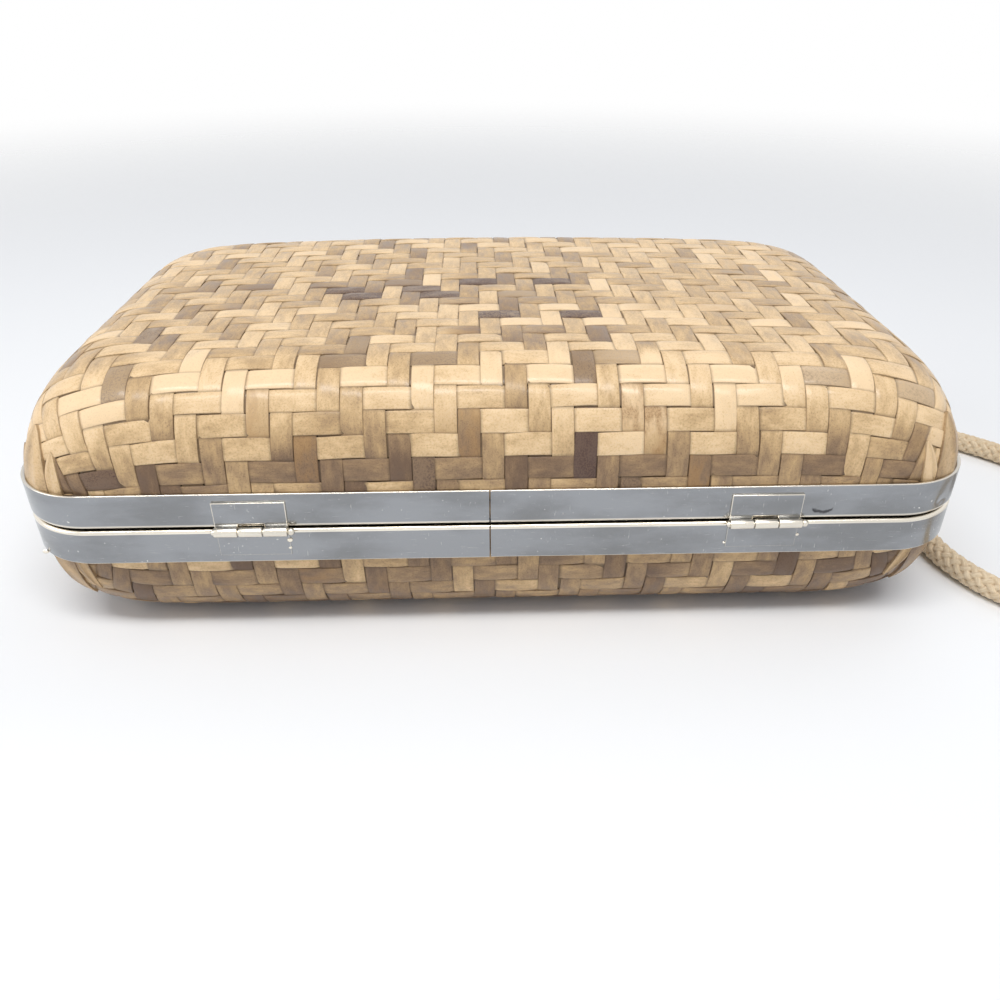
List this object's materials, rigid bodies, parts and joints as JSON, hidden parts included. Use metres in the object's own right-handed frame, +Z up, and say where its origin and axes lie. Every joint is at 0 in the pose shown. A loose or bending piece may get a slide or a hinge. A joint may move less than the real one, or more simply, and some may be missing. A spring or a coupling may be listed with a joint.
{
  "type": "woven box bag",
  "caption": "Hard box bag of two pillow-shaped twill-woven shells in metal frames, hinged at the back, with a bead clasp at the front and a braided cord strap.",
  "frame": {"origin": "on the floor under the middle of the closed bag's frame", "axes": "+X along the hinge towards the side where the strap's loop lies, +Y from the hinge side to the clasp side, +Z up"},
  "size_m": [0.2983, 0.1552, 0.0618],
  "materials": {
    "woven_strips": "flat split strips, varnished, mottled cream, tan and grey-brown",
    "lining_cloth": "plain cotton cloth",
    "band_metal": "silvered sheet, polished and lightly scratched",
    "fitting_metal": "silvered, worn at the edges",
    "strap_braid": "plaited cotton cord, cream"
  },
  "bodies": {
    "base": {"base_woven_shell": "woven_strips", "base_lining": "lining_cloth", "base_frame": "band_metal", "base_clasp_ball": "fitting_metal", "strap_cord": "strap_braid", "left_hinge_base_leaf": "fitting_metal", "left_hinge_pin": "fitting_metal", "left_strap_eyelet": "fitting_metal", "left_strap_knot": "strap_braid", "right_hinge_base_leaf": "fitting_metal", "right_hinge_pin": "fitting_metal", "right_strap_eyelet": "fitting_metal", "right_strap_knot": "strap_braid"},
    "lid": {"lid_woven_shell": "woven_strips", "lid_lining": "lining_cloth", "lid_frame": "band_metal", "lid_clasp_ball": "fitting_metal", "left_hinge_lid_leaf": "fitting_metal", "right_hinge_lid_leaf": "fitting_metal"}
  },
  "joints": [
    {"name": "lid_hinge", "type": "hinge", "parent": "base", "child": "lid", "pos_m": [0, -0.06335, 0.0295], "axis": [1, 0, 0], "range_deg": [0, 160]}
  ]
}
